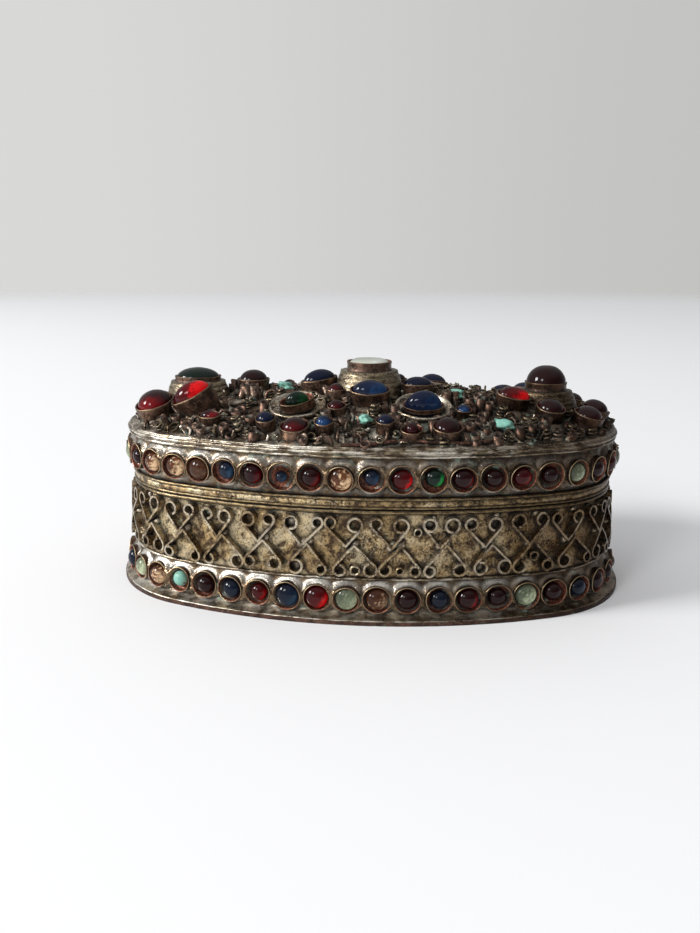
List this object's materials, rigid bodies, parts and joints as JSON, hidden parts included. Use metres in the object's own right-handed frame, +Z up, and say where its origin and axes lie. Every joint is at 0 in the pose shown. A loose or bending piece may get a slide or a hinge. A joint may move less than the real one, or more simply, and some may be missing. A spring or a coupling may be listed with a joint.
{
  "type": "jewelled filigree trinket box",
  "caption": "Oval lidded trinket box of soldered brass sheet and wire, with rows of glass cabochons, scroll filigree and a domed lid that lifts off.",
  "frame": {"origin": "middle of the underside of the base plate", "axes": "+X along the length of the box, -Y towards the front seen in the picture, +Z up"},
  "size_m": [0.13, 0.0734, 0.0562],
  "materials": {
    "copper_plate": "aged copper, edge rubbed red",
    "wall_sheet": "tarnished, mottled brass yellow and olive brown",
    "inner_sheet": "dull tinned brass",
    "rim_gold": "worn gold coloured wire",
    "scroll_strip": "tarnished strip with bright solder on its edges",
    "skirt_sheet": "grey solder over brass",
    "band_strip": "tinned brass strip, worn",
    "flange_wire": "stacked wires flooded with solder",
    "crown_sheet": "dark grey-brown solder and grime",
    "bezel_metal": "thin brass rims with silvery solder between them",
    "collar_metal": "silvery solder over brass",
    "dish_metal": "silvery solder over brass",
    "cup_metal": "dark copper brown",
    "post_metal": "dark, with green corrosion",
    "glass_garnet": "polished dark red glass on foil",
    "glass_red": "polished bright red glass on foil",
    "glass_amber": "clear amber glass on crinkled foil",
    "glass_blue": "polished dark blue glass",
    "glass_green": "polished dark green glass",
    "glass_pale": "cloudy pale green glass",
    "glass_white": "flat milky white glass",
    "turquoise": "rough pale blue-green chips"
  },
  "bodies": {
    "base": {"base_plate": "copper_plate", "body_wall": "wall_sheet", "rim_wire": "rim_gold", "inner_collar": "inner_sheet", "foot_bezels": "bezel_metal", "upper_scrolls": "scroll_strip", "lower_scrolls": "scroll_strip", "foot_stones_garnet": "glass_garnet", "foot_stones_red": "glass_red", "foot_stones_amber": "glass_amber", "foot_stones_blue": "glass_blue", "foot_stones_green": "glass_green", "foot_stones_pale": "glass_pale", "foot_stones_turquoise": "turquoise"},
    "lid": {"lid_skirt": "skirt_sheet", "lid_band": "band_strip", "lid_flange": "flange_wire", "lid_crown": "crown_sheet", "lid_bezels": "bezel_metal", "lid_collars": "collar_metal", "collar_bezels": "collar_metal", "white_stone": "glass_white", "green_stone": "glass_green", "dome_stone": "glass_garnet", "lid_dishes": "dish_metal", "dish_cups": "cup_metal", "dish_stones": "glass_blue", "large_cups": "cup_metal", "small_cups": "cup_metal", "long_cups": "cup_metal", "large_stones": "glass_garnet", "small_stones": "glass_blue", "long_stones": "glass_red", "lid_posts": "post_metal", "lid_cones": "post_metal", "lid_chips": "turquoise", "lid_stones_garnet": "glass_garnet", "lid_stones_red": "glass_red", "lid_stones_amber": "glass_amber", "lid_stones_blue": "glass_blue", "lid_stones_green": "glass_green", "lid_stones_pale": "glass_pale"}
  },
  "joints": [
    {"name": "lid_lift", "type": "slide", "parent": "base", "child": "lid", "axis": [0, 0, 1], "range_m": [0, 0.045]}
  ]
}
